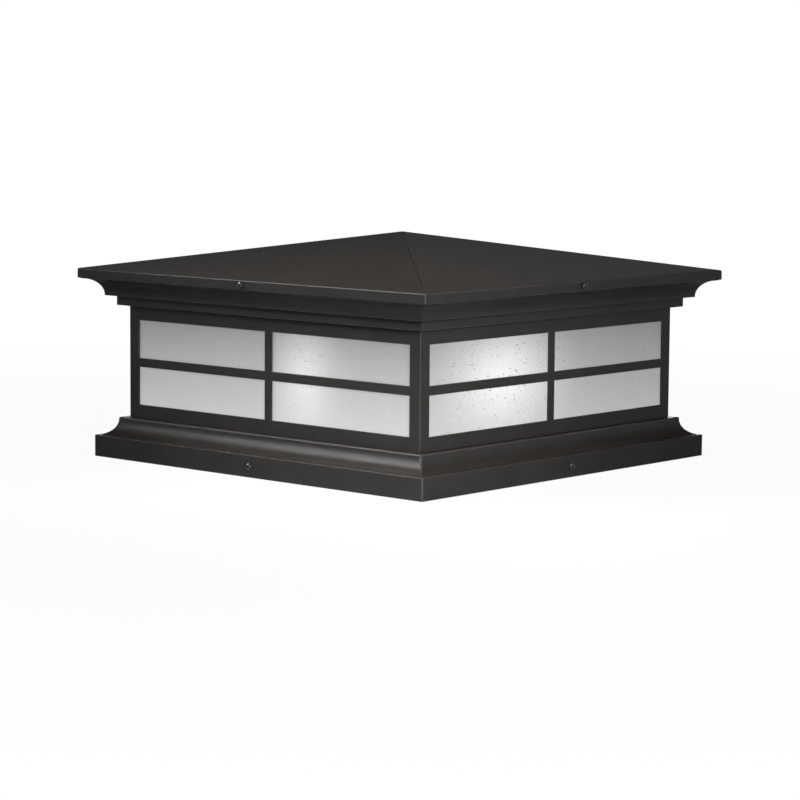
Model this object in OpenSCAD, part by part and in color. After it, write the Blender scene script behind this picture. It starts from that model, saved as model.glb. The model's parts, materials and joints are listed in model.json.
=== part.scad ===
// Square lantern that caps a post. A stepped base moulding slips over the post, a glazed window
// cage stands on it, and a crown moulding carries a low pyramid roof that lifts off for relamping.
// Millimetres, Z up. The origin is the centre of the base's bottom edge. The front side faces -Y.

/* [Body] */
// Width of the window cage across its outer faces
body_w = 341; // [300:1:460]
// Height of the window cage
body_h = 99.6; // [90:0.2:160]
// Sheet thickness of the window cage
cage_wall = 1.5; // [1:0.1:2]
// Width of the turned-in flanges at the cage's top and bottom, from its outer face
cage_flange = 20; // [19:0.5:26]
// Width of each corner stile of a window
stile_w = 11.8; // [10:0.1:18]
// Height of the solid rail above the panes
top_rail = 12.6; // [11:0.1:20]
// Height of the solid rail below the panes
bottom_rail = 12; // [11:0.1:20]
// Width of the upright glazing bar
muntin_w = 8.5; // [5:0.1:14]
// Height of the level glazing bar
cross_muntin_h = 7.9; // [5:0.1:14]
// Number of panes across one side
pane_columns = 2; // [1:1:4]
// Number of panes up one side
pane_rows = 2; // [1:1:3]

/* [Base moulding] */
// Height of the plain skirt around the post
skirt_h = 19.2; // [16:0.2:40]
// Radius of the hollow curve above the skirt
base_cove_r = 14.3; // [10:0.1:20]
// Height of the upright edge at the top of the curve
ledge_edge = 1.5; // [1:0.1:4]
// Distance that the ledge stands out past the cage
ledge_step = 7.3; // [4:0.1:12]
// Distance that the skirt stands out past the foot of the curve
skirt_step = 0.8; // [0.4:0.1:3]
// Wall thickness of the casting
base_wall = 2.5; // [2:0.1:3]
// Thickness of the seat ring that bears on the top of the post
seat_t = 4; // [3.6:0.1:6]

/* [Crown moulding] */
// Height of the plain band under the curve
band_h = 8.6; // [6:0.1:14]
// Distance that the band stands out past the cage
band_step = 8.3; // [5:0.1:14]
// Distance that the lip stands out past the band
lip_step = 7.6; // [4:0.1:12]
// Radius of the hollow curve under the roof
crown_cove_r = 15; // [11:0.1:20]
// Wall thickness of the crown
crown_wall = 2; // [1.5:0.1:2.5]

/* [Roof] */
// Height of the upright edge around the roof
fascia_h = 8.4; // [8.2:0.1:14]
// Rise of the pyramid above that edge
roof_rise = 33.7; // [20:0.1:80]
// Sheet thickness of the roof
roof_wall = 1.5; // [1:0.1:2]
// Strip of the crown's edge left bare under the roof's edge
fascia_reveal = 0.6; // [0.3:0.1:2]
// Clearance between the roof and the crown on every side
lid_fit = 0.3; // [0.2:0.05:0.6]

/* [Glazing] */
// Thickness of a glass panel
glass_t = 3; // [2:0.1:4]
// Clearance between the glass and the cage
glass_fit = 0.3; // [0.2:0.05:0.8]
// Distance that a glass panel runs behind a stile
glass_lap = 5.3; // [4:0.1:6]
// Room over a glass panel's top edge
glass_room = 0.8; // [0.3:0.1:2]
// Thickness of the rubber cushions behind the glass
cushion_t = 1; // [0.6:0.1:1.5]
// Sheet thickness of the corner retainers
retainer_t = 1.5; // [1:0.1:2]
// Size of a retainer's end tabs
retainer_tab = 16; // [14:0.5:20]

/* [Floor] */
// Thickness of the white floor plate
floor_t = 1.5; // [1:0.1:2]
// Clearance between the floor plate's edge and the retainers
floor_fit = 0.2; // [0.1:0.05:1]
// Distance between the post fixing holes along X
post_holes_x = 220; // [120:1:230]
// Diameter of the post fixing holes
post_hole_d = 5.5; // [4:0.1:6.5]
// Distance of the cable entry from the centre, towards the back
entry_y = 118; // [112:1:130]
// Bore of the cable grommet
entry_d = 11; // [6:0.5:12]

/* [Lamp] */
// Height of the lamp's axis above the floor plate
lamp_h = 42; // [34:1:55]
// Diameter of the lamp's glass
lamp_d = 15; // [10:0.5:16]
// Length of the lamp's glass outside the lampholder
lamp_len = 27.5; // [24:0.5:45]
// Distance of the glowing filament from the lampholder's face
filament_out = 14; // [12:0.5:18]
// Depth of the lampholder
holder_d = 16; // [14:0.5:24]
// Diameter of the insulated leads
lead_d = 2.4; // [1.6:0.1:2.8]

/* [Screws] */
// Nominal thread diameter
screw_d = 3; // [2.5:0.1:3]
// Diameter of a screw's pan head
head_d = 6; // [5:0.1:6.4]
// Height of a screw's pan head
head_h = 2.4; // [1.8:0.1:2.6]
// Width of a nut across its flats
nut_w = 5.5; // [5:0.1:5.5]
// Thickness of a nut
nut_t = 2.4; // [2:0.1:2.4]
// Clearance hole for a screw
screw_hole_d = 3.4; // [3.2:0.1:3.6]

/* [Hidden] */
$fn = 48;

// Finishes
BLACK = [0.16, 0.15, 0.145];
FROST = [0.82, 0.84, 0.84, 0.6];
WHITE = [0.9, 0.9, 0.88];
STEEL = [0.62, 0.63, 0.64];
RUBBER = [0.08, 0.08, 0.08];
BRASS = [0.78, 0.64, 0.34];
CERAMIC = [0.86, 0.84, 0.78];

// A little extra so that a cut passes clean through a face
over = 1;
// Play of a thread in its tapped hole, on the diameter
thread_play = 0.1;
// Overlap of two shapes that make one solid
bite = 0.5;

// Half widths, from the cage outwards
body_half = body_w / 2;
cage_in = body_half - cage_wall;
flange_in = body_half - cage_flange;
ledge_half = body_half + ledge_step;
base_cove_half = ledge_half + base_cove_r;
skirt_half = base_cove_half + skirt_step;
skirt_in = skirt_half - base_wall;
band_half = body_half + band_step;
lip_half = band_half + lip_step;
crown_half = lip_half + crown_cove_r;
crown_in = crown_half - crown_wall;
lid_in = crown_half + lid_fit;
roof_half = lid_in + roof_wall;

// Levels, from the ground up
base_cove_z = skirt_h + base_cove_r;
base_h = base_cove_z + ledge_edge;
seat_z = base_h - seat_t;
floor_z = base_h + cage_wall;
floor_top = floor_z + floor_t;
cage_top = base_h + body_h;
crown_floor = cage_top + crown_wall;
crown_cove_z = cage_top + band_h;
crown_edge_z = crown_cove_z + crown_cove_r;
fascia_z = crown_edge_z + fascia_reveal;
eave_z = fascia_z + fascia_h;
apex_z = eave_z + roof_rise;

// The roof's slope, and its sheet measured straight up
roof_pitch = atan(roof_rise / roof_half);
roof_sheet = roof_wall / cos(roof_pitch);
// Height of the sheet's underside over the crown's outer edge
lid_under_z = eave_z + (roof_half - crown_half) * tan(roof_pitch) - roof_sheet;
crown_top = lid_under_z - lid_fit;

// Glazing, from the outside in
glass_out = cage_in - glass_fit;
glass_in = glass_out - glass_t;
glass_half = body_half - stile_w + glass_lap;
glass_top = cage_top - cage_wall - glass_room;
retainer_out = glass_in - cushion_t;
retainer_in = retainer_out - retainer_t;
retainer_leg = retainer_out - (body_half - stile_w);
tab_low = floor_top + retainer_t;
tab_high = cage_top - cage_wall - retainer_t;
// Cushions stop short of the retainer's long edges and of its tabs
cushion_inset = 0.5;
cushion_gap = 1;
cushion_w = retainer_leg - 2 * cushion_inset;
floor_half = retainer_in - floor_fit;

// Fasteners and their places. A screw passes its nut by screw_past, and its tip stops short of
// the underside of a tapped hole by tip_short.
tapped_d = screw_d + thread_play;
screw_past = 0.8;
tip_short = 0.5;
fixing_in = 5.5;
fixing_half = flange_in + fixing_in;
tab_fixing = retainer_in - retainer_tab / 2;
base_screw_z = skirt_h / 2;
roof_screw_z = fascia_z + fascia_h / 2;
base_screw_len = 15;
post_holes_y = 2 * fixing_half;
recess_w = 0.8;
recess_half = 0.28 * head_d;
recess_deep = 1.2;
dome_r = 0.7 * head_d;
boss_d = 3 * screw_d;
boss_t = 3;

// Lamp and lampholder, with the lamp's axis along Y and its filament over the centre
lamp_z = floor_top + lamp_h;
holder_face = filament_out;
holder_back = holder_face + holder_d;
holder_w = 30;
holder_h = 20;
holder_screw_x = 11;
lamp_wall = 0.8;
lamp_neck_d = 10.5;
lamp_neck = 4;
wedge_w = 9.5;
wedge_t = 2.1;
wedge_len = 8.5;
contact_t = 0.5;
contact_w = 3;
contact_fit = 0.3;
contact_setback = 1;
slit_fit = 0.1;
contact_x = (wedge_w - contact_w) / 2;
slot_room = 0.5;
slot_deep = wedge_len + slot_room;
slot_w = wedge_w + 2 * contact_fit;
slot_h = wedge_t + 2 * (contact_fit + contact_t + slit_fit);
filament_d = 1.6;
filament_w = 7;
support_d = 0.6;
support_x = 3;
bracket_t = 1.5;
bracket_foot = 27;
bracket_rise = 3;
bracket_top = lamp_z + holder_h / 2 + bracket_rise;
bracket_screw_x = 8;
bracket_screw_in = 20;
bracket_screw_y = holder_back - bracket_screw_in;
window_d = 14;

// Leads: out of the lampholder's back, down behind the bracket, then level to the terminals
lead_x = 5;
lead_out = 9;
lead_bend = 6;
lead_rise = 4;
lead_z = floor_top + lead_rise;
lead_fit = 0.1;
clip_y = 61;
clip_d = 6;
clip_w = 18;
clip_h = 7;
terminal_y = 75;
terminal_d = 18;
terminal_w = 20;
terminal_h = 13;
terminal_mid = terminal_y + terminal_d / 2;
sleeve_bore = 3.2;
sleeve_d = 4.8;
sleeve_inset = 1;
sleeve_fit = 0.05;
lead_grip = 6;
terminal_screw_d = 2.4;
terminal_screw_len = 5;
terminal_screw_fit = 0.1;
terminal_screw_y = 4.5;
head_fit = 0.2;

// Screws through the floor plate, each with its place and the height that it clamps:
// two in the bracket, one in the clip and one in the terminal block
terminal_sink = 3;
fittings = [
    [-bracket_screw_x, bracket_screw_y, bracket_t],
    [bracket_screw_x, bracket_screw_y, bracket_t],
    [0, clip_y, clip_h],
    [0, terminal_mid, terminal_h - terminal_sink]
];

// Grommet in the floor plate
grommet_wall = 2.5;
grommet_flare = 2;
grommet_groove_d = entry_d + 2 * grommet_wall;
grommet_d = grommet_groove_d + 2 * grommet_flare;
grommet_lip = 2.2;
entry_fit = 0.1;

// Repeats and shared shapes ------------------------------------------------------------------

// The four sides, starting at the front and going right, back and left
module sides(list = [0:3]) {
    for (side = list)
        rotate([0, 0, 90 * side])
            children();
}

// A level outline swept round the square with mitred corners
module mitred() {
    span = 4 * roof_half;
    intersection() {
        rotate([90, 0, 0])
            linear_extrude(span, center = true)
                children();
        rotate([90, 0, 90])
            linear_extrude(span, center = true)
                children();
    }
}

// A rectangle centred on the axis, between two levels
module slab(half, low, high) {
    translate([-half, low])
        square([2 * half, high - low]);
}

// A slab whose two sides are hollowed by a curve centred on its outer edge
module coved_slab(half, low, high, centre_half, centre_z, r) {
    difference() {
        slab(half, low, high);
        for (side = [-1, 1])
            translate([side * centre_half, centre_z])
                circle(r);
    }
}

// A square plate between two levels
module plate(half, low, high) {
    translate([-half, -half, low])
        cube([2 * half, 2 * half, high - low]);
}

// A block given by its lowest and highest corners
module block(low, high) {
    translate(low)
        cube(high - low);
}

// Pan head screw standing on z = 0, with its shank below
module pan_screw(length) {
    difference() {
        union() {
            rotate_extrude()
                intersection() {
                    square([head_d / 2, head_h]);
                    translate([0, head_h - dome_r])
                        circle(dome_r);
                }
            translate([0, 0, -length])
                cylinder(h = length + bite, d = screw_d);
        }
        for (turn = [0, 90])
            rotate([0, 0, turn])
                block([-recess_half, -recess_w / 2, head_h - recess_deep],
                      [recess_half, recess_w / 2, head_h + over]);
    }
}

// Hexagon nut standing on z = 0
module nut() {
    difference() {
        cylinder(h = nut_t, d = nut_w / cos(30), $fn = 6);
        translate([0, 0, -over])
            cylinder(h = nut_t + 2 * over, d = tapped_d);
    }
}

// Upright hole between two levels
module hole(x, y, d, low, high) {
    translate([x, y, low - over])
        cylinder(h = high - low + 2 * over, d = d);
}

// Middle of each side, where the cage is clamped to the base and the crown
module side_places() {
    sides()
        translate([0, -fixing_half, 0])
            children();
}

// Corners, where the retainers are clamped as well
module corner_places() {
    sides()
        translate([tab_fixing, -tab_fixing, 0])
            children();
}

// Post fixing holes, through the floor plate, the cage's flange and the seat ring
module post_holes(low, high) {
    for (x = [-1, 1], y = [-1, 1])
        hole(x * post_holes_x / 2, y * post_holes_y / 2, post_hole_d, low, high);
}

// Base --------------------------------------------------------------------------------------

// Outline of the casting seen from one side
module base_outline() {
    slab(skirt_half, 0, skirt_h);
    coved_slab(base_cove_half, skirt_h - bite, base_cove_z, base_cove_half, base_cove_z, base_cove_r);
    slab(ledge_half, base_cove_z - bite, base_h);
}

// Its hollow underside, up to the seat ring
module base_hollow() {
    slab(skirt_in, -over, skirt_h - base_wall);
    coved_slab(skirt_in, skirt_h - base_wall - bite, seat_z,
               base_cove_half, base_cove_z, base_cove_r + base_wall);
}

// Cast moulding: skirt, hollow curve, ledge and the seat ring on the post's top
module base_moulding() {
    color(BLACK)
        difference() {
            union() {
                difference() {
                    mitred() base_outline();
                    mitred() base_hollow();
                }
                sides()
                    translate([0, -skirt_half + base_wall + boss_t, base_screw_z])
                        rotate([90, 0, 0])
                            cylinder(h = boss_t + bite, d = boss_d);
            }
            plate(flange_in, seat_z - over, base_h + over);
            sides()
                translate([0, -skirt_half + base_wall + boss_t + over, base_screw_z])
                    rotate([90, 0, 0])
                        cylinder(h = base_wall + boss_t + 2 * over, d = tapped_d);
            side_places() hole(0, 0, tapped_d, seat_z, base_h);
            corner_places() hole(0, 0, tapped_d, seat_z, base_h);
            post_holes(seat_z, base_h);
        }
}

// Screws that pinch the post, one in the middle of each side of the skirt
module base_screws() {
    color(BLACK)
        sides()
            translate([0, -skirt_half, base_screw_z])
                rotate([90, 0, 0])
                    pan_screw(base_screw_len);
}

// Window cage and glazing -------------------------------------------------------------------

// Openings for the panes of one side, cut along Y
module pane_openings() {
    field_w = body_w - 2 * stile_w;
    field_h = body_h - top_rail - bottom_rail;
    pane_w = (field_w - (pane_columns - 1) * muntin_w) / pane_columns;
    pane_h = (field_h - (pane_rows - 1) * cross_muntin_h) / pane_rows;
    for (column = [0 : pane_columns - 1], row = [0 : pane_rows - 1])
        translate([-field_w / 2 + column * (pane_w + muntin_w), -body_half - over,
                   base_h + bottom_rail + row * (pane_h + cross_muntin_h)])
            cube([pane_w, cage_wall + 2 * over, pane_h]);
}

// Square sheet cage with turned-in flanges and two by two panes on each side
module window_cage() {
    color(BLACK)
        difference() {
            plate(body_half, base_h, cage_top);
            plate(cage_in, floor_z, cage_top - cage_wall);
            plate(flange_in, base_h - over, cage_top + over);
            sides() pane_openings();
            side_places() {
                hole(0, 0, screw_hole_d, base_h, floor_z);
                hole(0, 0, screw_hole_d, cage_top - cage_wall, cage_top);
            }
            corner_places() {
                hole(0, 0, screw_hole_d, base_h, floor_z);
                hole(0, 0, screw_hole_d, cage_top - cage_wall, cage_top);
            }
            post_holes(base_h, floor_z);
        }
}

// Flat panel of seeded glass behind one side of the cage
module glass_panel(side) {
    color(FROST)
        sides([side])
            block([-glass_half, -glass_out, floor_z], [glass_half, -glass_in, glass_top]);
}

// Angle strip that holds two panels at a corner, with a screwed tab at each end
module retainer(side) {
    leg_start = retainer_out - retainer_leg;
    top = tab_high + retainer_t;
    color(STEEL)
        sides([side])
            difference() {
                union() {
                    block([leg_start, -retainer_out, floor_top], [retainer_out, -retainer_in, top]);
                    block([retainer_in, -retainer_out, floor_top], [retainer_out, -leg_start, top]);
                    for (low = [floor_top, tab_high])
                        block([retainer_in - retainer_tab, -retainer_in - bite, low],
                              [retainer_in + bite, -retainer_in + retainer_tab, low + retainer_t]);
                }
                hole(tab_fixing, -tab_fixing, screw_hole_d, floor_top, top);
            }
}

// Two rubber strips between a retainer and the two panels that it holds
module cushions(side) {
    low = tab_low + cushion_gap;
    high = tab_high - cushion_gap;
    start = retainer_out - retainer_leg + cushion_inset;
    color(RUBBER)
        sides([side]) {
            block([start, -glass_in, low], [start + cushion_w, -retainer_out, high]);
            block([retainer_out, -start - cushion_w, low], [glass_in, -start, high]);
        }
}

// White plate that closes the lantern's floor and carries the lamp fittings
module floor_plate() {
    color(WHITE)
        difference() {
            plate(floor_half, floor_z, floor_top);
            side_places() hole(0, 0, screw_hole_d, floor_z, floor_top);
            corner_places() hole(0, 0, screw_hole_d, floor_z, floor_top);
            post_holes(floor_z, floor_top);
            fitting_places() hole(0, 0, screw_hole_d, floor_z, floor_top);
            hole(0, entry_y, grommet_groove_d + 2 * entry_fit, floor_z, floor_top);
        }
}

// Screws through the floor plate and the cage into the seat ring
module floor_screws() {
    color(STEEL)
        side_places()
            translate([0, 0, floor_top])
                pan_screw(floor_top - seat_z - tip_short);
}

// Screws through the retainers' lower tabs as well
module retainer_screws() {
    color(STEEL)
        corner_places()
            translate([0, 0, tab_low])
                pan_screw(tab_low - seat_z - tip_short);
}

// Crown and roof ----------------------------------------------------------------------------

// Outline of the crown seen from one side
module crown_outline() {
    slab(band_half, cage_top, crown_cove_z + bite);
    coved_slab(crown_half, crown_cove_z, crown_top, crown_half, crown_cove_z, crown_cove_r);
}

// Its hollow inside, open at the top
module crown_hollow() {
    slab(band_half - crown_wall, crown_floor, crown_cove_z + crown_wall + bite);
    coved_slab(crown_in, crown_cove_z + crown_wall, crown_top + over,
               crown_half, crown_cove_z, crown_cove_r + crown_wall);
}

// Moulding between the cage and the roof, with an upright flange that the roof drops over
module crown_moulding() {
    color(BLACK)
        difference() {
            mitred() crown_outline();
            mitred() crown_hollow();
            plate(flange_in, cage_top - over, crown_floor + over);
            side_places() hole(0, 0, screw_hole_d, cage_top, crown_floor);
            corner_places() hole(0, 0, screw_hole_d, cage_top, crown_floor);
            // Slots open at the top, so the roof lifts off with its slackened screws
            sides() {
                translate([0, -crown_half - over, roof_screw_z])
                    rotate([-90, 0, 0])
                        cylinder(h = crown_wall + 2 * over, d = screw_d + 2 * lid_fit);
                block([-screw_d / 2 - lid_fit, -crown_half - over, roof_screw_z],
                      [screw_d / 2 + lid_fit, -crown_in + over, crown_top + over]);
            }
        }
}

// Screws that clamp the crown to the cage, and to the retainers' upper tabs at the corners
module crown_screws() {
    clamped = crown_wall + cage_wall + nut_t + screw_past;
    color(STEEL)
        translate([0, 0, crown_floor]) {
            side_places() pan_screw(clamped);
            corner_places() pan_screw(clamped + retainer_t);
        }
}

module crown_nuts() {
    color(STEEL) {
        side_places()
            translate([0, 0, cage_top - cage_wall - nut_t])
                nut();
        corner_places()
            translate([0, 0, tab_high - nut_t])
                nut();
    }
}

// Gable outline of the roof: an upright edge and two equal slopes
module roof_outline(half, low, eave, apex) {
    polygon([[-half, low], [half, low], [half, eave], [0, apex], [-half, eave]]);
}

// Folded sheet roof: a low pyramid with an upright edge
module roof_lid() {
    inner_eave = eave_z + roof_wall * tan(roof_pitch) - roof_sheet;
    color(BLACK)
        difference() {
            mitred() roof_outline(roof_half, fascia_z, eave_z, apex_z);
            mitred() roof_outline(lid_in, fascia_z - over, inner_eave, apex_z - roof_sheet);
            sides()
                translate([0, -roof_half - over, roof_screw_z])
                    rotate([-90, 0, 0])
                        cylinder(h = roof_wall + 2 * over, d = screw_hole_d);
        }
}

// Screws that hold the roof on, one in the middle of each side of its upright edge
module roof_screws() {
    color(BLACK)
        sides()
            translate([0, -roof_half, roof_screw_z])
                rotate([90, 0, 0])
                    pan_screw(roof_half - crown_in + lid_fit + nut_t + screw_past);
}

module roof_nuts() {
    color(STEEL)
        sides()
            translate([0, -crown_in + lid_fit, roof_screw_z])
                rotate([-90, 0, 0])
                    nut();
}

// Lamp and its fittings ---------------------------------------------------------------------

// Screw places of the bracket, the clip and the terminal block
module fitting_places() {
    for (place = fittings)
        translate([place[0], place[1], 0])
            children();
}

// Sheet angle that holds the lampholder up, open behind it for the leads
module lamp_bracket() {
    color(WHITE)
        difference() {
            union() {
                block([-holder_w / 2, holder_back, floor_top],
                      [holder_w / 2, holder_back + bracket_t, bracket_top]);
                block([-holder_w / 2, holder_back + bracket_t - bracket_foot, floor_top],
                      [holder_w / 2, holder_back + bracket_t, floor_top + bracket_t]);
            }
            translate([0, holder_back - over, lamp_z])
                rotate([-90, 0, 0])
                    cylinder(h = bracket_t + 2 * over, d = window_d);
            for (x = [-holder_screw_x, holder_screw_x])
                translate([x, holder_back - over, lamp_z])
                    rotate([-90, 0, 0])
                        cylinder(h = bracket_t + 2 * over, d = screw_hole_d);
            for (x = [-bracket_screw_x, bracket_screw_x])
                hole(x, bracket_screw_y, screw_hole_d, floor_top, floor_top + bracket_t);
        }
}

// Ceramic block with a slot for the lamp's flat base and a slit behind it for each contact
module lampholder() {
    color(CERAMIC)
        difference() {
            block([-holder_w / 2, holder_face, lamp_z - holder_h / 2],
                  [holder_w / 2, holder_back, lamp_z + holder_h / 2]);
            block([-slot_w / 2, holder_face - over, lamp_z - slot_h / 2],
                  [slot_w / 2, holder_face + slot_deep, lamp_z + slot_h / 2]);
            for (side = [-1, 1])
                contact_block(side, contact_w + 2 * slit_fit, contact_t + 2 * slit_fit,
                              holder_face + slot_deep - over, holder_back + over);
            for (x = [-holder_screw_x, holder_screw_x])
                translate([x, holder_face - over, lamp_z])
                    rotate([-90, 0, 0])
                        cylinder(h = holder_d + 2 * over, d = screw_hole_d);
        }
}

// A contact's strip: above the lamp's base on one side and below it on the other
module contact_block(side, w, t, y0, y1) {
    level = wedge_t / 2 + contact_fit + contact_t / 2;
    translate([side * contact_x - w / 2, y0, lamp_z + side * level - t / 2])
        cube([w, y1 - y0, t]);
}

// Sprung strips that the lamp's flat base slides between
module lampholder_contacts() {
    color(BRASS)
        for (side = [-1, 1])
            contact_block(side, contact_w, contact_t, holder_face + contact_setback, holder_back);
}

// Screws through the lampholder and the bracket
module holder_screws() {
    color(STEEL)
        for (x = [-holder_screw_x, holder_screw_x])
            translate([x, holder_face, lamp_z])
                rotate([90, 0, 0])
                    pan_screw(holder_d + bracket_t + nut_t + screw_past);
}

module holder_nuts() {
    color(STEEL)
        for (x = [-holder_screw_x, holder_screw_x])
            translate([x, holder_back + bracket_t, lamp_z])
                rotate([-90, 0, 0])
                    nut();
}

// Moves the lamp's own axes to the lampholder's face, with Z pointing out of it
module at_holder() {
    translate([0, holder_face, lamp_z])
        rotate([90, 0, 0])
            children();
}

// Round-ended tube of the lamp, thinner by a wall for the hollow inside
module lamp_bulb(inset) {
    d = lamp_d - 2 * inset;
    translate([0, 0, inset])
        cylinder(h = lamp_neck - inset, d1 = lamp_neck_d - 2 * inset, d2 = d);
    translate([0, 0, lamp_neck])
        cylinder(h = lamp_len - lamp_d / 2 - lamp_neck, d = d);
    translate([0, 0, lamp_len - lamp_d / 2])
        sphere(d = d);
}

// Lamp envelope with a flat pressed base that pushes into the lampholder
module lamp_glass() {
    color(FROST)
        at_holder()
            difference() {
                union() {
                    lamp_bulb(0);
                    block([-wedge_w / 2, -wedge_t / 2, -wedge_len], [wedge_w / 2, wedge_t / 2, bite]);
                }
                lamp_bulb(lamp_wall);
            }
}

// Filament coil on its two support wires
module lamp_filament() {
    color(STEEL)
        at_holder() {
            for (x = [-support_x, support_x])
                translate([x, 0, lamp_wall])
                    cylinder(h = filament_out - lamp_wall, d = support_d);
            translate([-filament_w / 2, 0, filament_out])
                rotate([0, 90, 0])
                    cylinder(h = filament_w, d = filament_d);
        }
}

// Quarter bend of a lead in the plane x = 0
module lead_elbow(turn) {
    rotate([90, 0, 90])
        rotate([0, 0, turn])
            rotate_extrude(angle = 90)
                translate([lead_bend, 0])
                    circle(d = lead_d);
}

// Insulated lead from the lampholder's back to the terminal block
module lead(x, insulation) {
    drop_y = holder_back + lead_out + lead_bend;
    color(insulation)
        translate([x, 0, 0])
            union() {
                translate([0, holder_back, lamp_z])
                    rotate([-90, 0, 0])
                        cylinder(h = lead_out, d = lead_d);
                translate([0, holder_back + lead_out, lamp_z - lead_bend])
                    lead_elbow(0);
                translate([0, drop_y, lead_z + lead_bend])
                    cylinder(h = lamp_z - lead_z - 2 * lead_bend, d = lead_d);
                translate([0, drop_y + lead_bend, lead_z + lead_bend])
                    lead_elbow(180);
                translate([0, drop_y + lead_bend, lead_z])
                    rotate([-90, 0, 0])
                        cylinder(h = terminal_y + lead_grip - drop_y - lead_bend, d = lead_d);
            }
}

// Level round channel along Y
module channel(x, y0, y1, z, d) {
    translate([x, y0, z])
        rotate([-90, 0, 0])
            cylinder(h = y1 - y0, d = d);
}

// Nylon saddle over both leads
module lead_clip() {
    color(WHITE)
        difference() {
            block([-clip_w / 2, clip_y - clip_d / 2, floor_top],
                  [clip_w / 2, clip_y + clip_d / 2, floor_top + clip_h]);
            for (x = [-lead_x, lead_x])
                channel(x, clip_y - clip_d, clip_y + clip_d, lead_z, lead_d + 2 * lead_fit);
            hole(0, clip_y, screw_hole_d, floor_top, floor_top + clip_h);
        }
}

// Places of the terminal screws, two over each sleeve
module terminal_screw_places() {
    for (x = [-lead_x, lead_x], y = [-terminal_screw_y, terminal_screw_y])
        translate([x, terminal_mid + y, 0])
            children();
}

// Two-way block, open at the back for the supply cable
module terminal_block() {
    top = floor_top + terminal_h;
    color(WHITE)
        difference() {
            block([-terminal_w / 2, terminal_y, floor_top],
                  [terminal_w / 2, terminal_y + terminal_d, top]);
            for (x = [-lead_x, lead_x])
                channel(x, terminal_y - over, terminal_y + terminal_d + over, lead_z,
                        sleeve_d + 2 * sleeve_fit);
            terminal_screw_places()
                hole(0, 0, terminal_screw_d + 4 * terminal_screw_fit, lead_z + over, top);
            hole(0, terminal_mid, screw_hole_d, floor_top, top);
            translate([0, terminal_mid, top - terminal_sink])
                cylinder(h = terminal_sink + over, d = head_d + 2 * head_fit);
        }
}

// Brass tubes in the block that the bared ends go into
module terminal_sleeves() {
    color(BRASS)
        difference() {
            for (x = [-lead_x, lead_x])
                channel(x, terminal_y + sleeve_inset, terminal_y + terminal_d - sleeve_inset,
                        lead_z, sleeve_d);
            for (x = [-lead_x, lead_x])
                channel(x, terminal_y - over, terminal_y + terminal_d + over, lead_z, sleeve_bore);
            terminal_screw_places()
                hole(0, 0, terminal_screw_d + 2 * terminal_screw_fit, lead_z + over, lead_z + sleeve_d);
        }
}

// Screws that grip the bared ends
module terminal_screws() {
    color(STEEL)
        terminal_screw_places()
            translate([0, 0, lead_z + sleeve_bore / 2])
                cylinder(h = terminal_screw_len, d = terminal_screw_d);
}

// Rubber grommet that lines the cable entry
module wire_grommet() {
    low = floor_z - grommet_lip;
    high = floor_top + grommet_lip;
    color(RUBBER)
        translate([0, entry_y, 0])
            difference() {
                union() {
                    for (level = [low, floor_top])
                        translate([0, 0, level])
                            cylinder(h = grommet_lip, d = grommet_d);
                    translate([0, 0, low])
                        cylinder(h = high - low, d = grommet_groove_d);
                }
                translate([0, 0, low - over])
                    cylinder(h = high - low + 2 * over, d = entry_d);
            }
}

// Screws through the fittings and the floor plate
module fitting_screws() {
    color(STEEL)
        for (place = fittings)
            translate([place[0], place[1], floor_top + place[2]])
                pan_screw(place[2] + floor_t + nut_t + screw_past);
}

module fitting_nuts() {
    color(STEEL)
        fitting_places()
            translate([0, 0, floor_z - nut_t])
                nut();
}

// One line for each sub-part -----------------------------------------------------------------
base_moulding();
base_screws();
window_cage();
glass_panel(0);  // glass_front
glass_panel(1);  // glass_right
glass_panel(2);  // glass_back
glass_panel(3);  // glass_left
retainer(0);  // retainer_front_right
retainer(1);  // retainer_back_right
retainer(2);  // retainer_back_left
retainer(3);  // retainer_front_left
cushions(0);  // cushions_front_right
cushions(1);  // cushions_back_right
cushions(2);  // cushions_back_left
cushions(3);  // cushions_front_left
floor_plate();
floor_screws();
retainer_screws();
crown_moulding();
crown_screws();
crown_nuts();
roof_lid();
roof_screws();
roof_nuts();
lamp_bracket();
lampholder();
lampholder_contacts();
holder_screws();
holder_nuts();
lamp_glass();
lamp_filament();
lead(-lead_x, RUBBER);  // lead_left
lead(lead_x, WHITE);  // lead_right
lead_clip();
terminal_block();
terminal_sleeves();
terminal_screws();
wire_grommet();
fitting_screws();
fitting_nuts();
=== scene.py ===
# %% [markdown]
# # A deck post cap light
# This notebook dresses a lantern that sits on top of a deck post. Its solids were drawn in CAD
# and are loaded here as a fixed frame. Each step takes one real piece or finish, says what it is
# and makes it in Blender. Everything is in metres, and Z points up. The front side faces -Y and
# the right side faces +X.

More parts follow.
